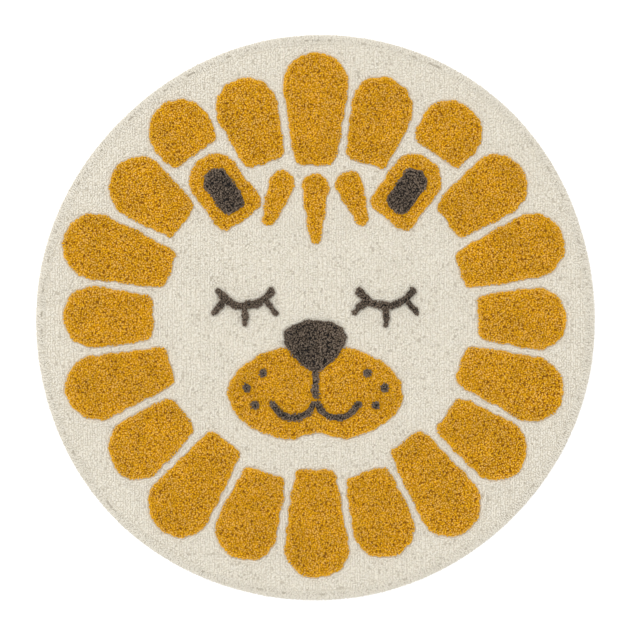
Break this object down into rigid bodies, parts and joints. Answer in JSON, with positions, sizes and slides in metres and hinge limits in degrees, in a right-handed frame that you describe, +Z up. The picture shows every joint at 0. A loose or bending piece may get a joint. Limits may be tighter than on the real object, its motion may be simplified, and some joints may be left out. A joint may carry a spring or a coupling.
{
  "type": "round kids rug with a lion face",
  "caption": "Round tufted cotton rug for a child's room: cream low pile with a lion's face in raised mustard and charcoal pile. Lies flat on a floor.",
  "frame": {"origin": "on the floor, under the middle of the rug's box", "axes": "+Z up out of the pile, +Y towards the top of the lion's head, +X to the right of the face as seen from above"},
  "size_m": [0.9934, 1.005, 0.0175],
  "materials": {
    "cream_pile": "low cream cotton pile in rows, matt",
    "mustard_pile": "raised mustard cotton cut pile, matt",
    "charcoal_pile": "raised charcoal cotton cut pile, matt",
    "back_cloth": "plain woven cotton back, turned at the edge as a hem"
  },
  "bodies": {
    "root": {"tufted_rug": "cream_pile"}
  },
  "joints": []
}
